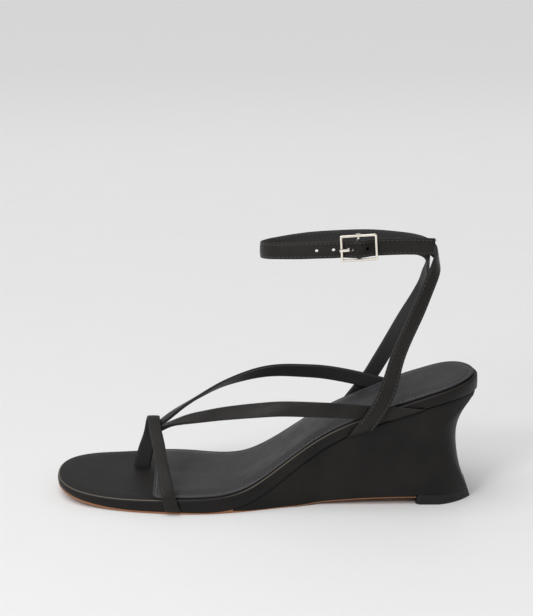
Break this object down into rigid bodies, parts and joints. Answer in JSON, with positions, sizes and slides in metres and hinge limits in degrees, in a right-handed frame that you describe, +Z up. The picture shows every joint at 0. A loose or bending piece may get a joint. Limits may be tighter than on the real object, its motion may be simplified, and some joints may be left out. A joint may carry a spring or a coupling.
{
  "type": "wedge sandal",
  "caption": "Strappy leather wedge sandal, left foot: toe loop, crossed instep straps, ankle strap with a pin buckle, concave wedge heel and padded footbed.",
  "frame": {"origin": "on the ground under the middle of the sandal's bounding box", "axes": "+Z up, +X from toe to heel, -Y towards the outer side of the foot (left sandal)"},
  "size_m": [0.2436, 0.0884, 0.1584],
  "materials": {
    "strap_leather": "black smooth calf leather, satin",
    "sole_leather": "black smooth leather, semi-matt",
    "insock_leather": "dark blue-grey soft leather, satin",
    "lining": "black lining leather, matt",
    "outsole_sheet": "tan resin sheet with a natural edge",
    "cork": "pressed cork composite",
    "fibreboard": "cellulose insole board",
    "steel": "plain steel",
    "foam": "open-cell foam",
    "thread": "black bonded thread",
    "tape": "woven nylon tape",
    "rubber": "black moulded rubber",
    "buckle_metal": "polished pale nickel-gold plate"
  },
  "bodies": {
    "sandal": {"outsole": "outsole_sheet", "bottom_filler": "cork", "insole_board": "fibreboard", "shank": "steel", "shank_rivets": "steel", "heel_screw": "steel", "heel_nails": "steel", "rim_band": "sole_leather", "footbed_foam": "foam", "footbed_cover": "sole_leather", "insock_foam": "foam", "insock": "insock_leather", "insock_stitching": "thread", "wedge_core": "cork", "wedge_cover": "sole_leather", "top_lift": "rubber", "top_lift_pins": "steel", "toe_strap": "strap_leather", "toe_strap_lining": "lining", "thong_anchor": "strap_leather", "lateral_instep_strap": "strap_leather", "lateral_instep_lining": "lining", "medial_instep_strap": "strap_leather", "medial_instep_lining": "lining", "lateral_ankle_root": "strap_leather", "lateral_ankle_root_lining": "lining", "medial_ankle_root": "strap_leather", "medial_ankle_root_lining": "lining"},
    "ankle_strap": {"lateral_ankle_strap": "strap_leather", "lateral_ankle_lining": "lining", "ankle_strap_tape": "tape", "medial_ankle_strap": "strap_leather", "medial_ankle_lining": "lining", "chape": "strap_leather", "chape_stitching": "thread"},
    "buckle": {"buckle_frame": "buckle_metal", "buckle_bar": "buckle_metal"},
    "prong": {"buckle_prong": "buckle_metal"},
    "strap_tip": {"strap_tip": "strap_leather", "strap_tip_lining": "lining"}
  },
  "joints": [
    {"name": "ankle_strap_fold", "type": "hinge", "parent": "sandal", "child": "ankle_strap", "pos_m": [0.062, -0.0029, 0.0595], "axis": [0, 1, 0], "range_deg": [-40, 30], "stiffness_Nm_per_rad": 0.12},
    {"name": "buckle_rock", "type": "hinge", "parent": "ankle_strap", "child": "buckle", "pos_m": [0.0516, -0.0205, 0.1496], "axis": [-0.061, 0, 0.9981], "range_deg": [-3, 3], "stiffness_Nm_per_rad": 0.02},
    {"name": "prong_lift", "type": "hinge", "parent": "buckle", "child": "prong", "pos_m": [0.0516, -0.0205, 0.1496], "axis": [-0.061, 0, 0.9981], "range_deg": [0, 8], "stiffness_Nm_per_rad": 0.01},
    {"name": "tip_lift", "type": "hinge", "parent": "ankle_strap", "child": "strap_tip", "pos_m": [0.06358, -0.0202, 0.15033], "axis": [-0.061, 0, 0.9981], "range_deg": [-35, 0], "stiffness_Nm_per_rad": 0.02}
  ]
}
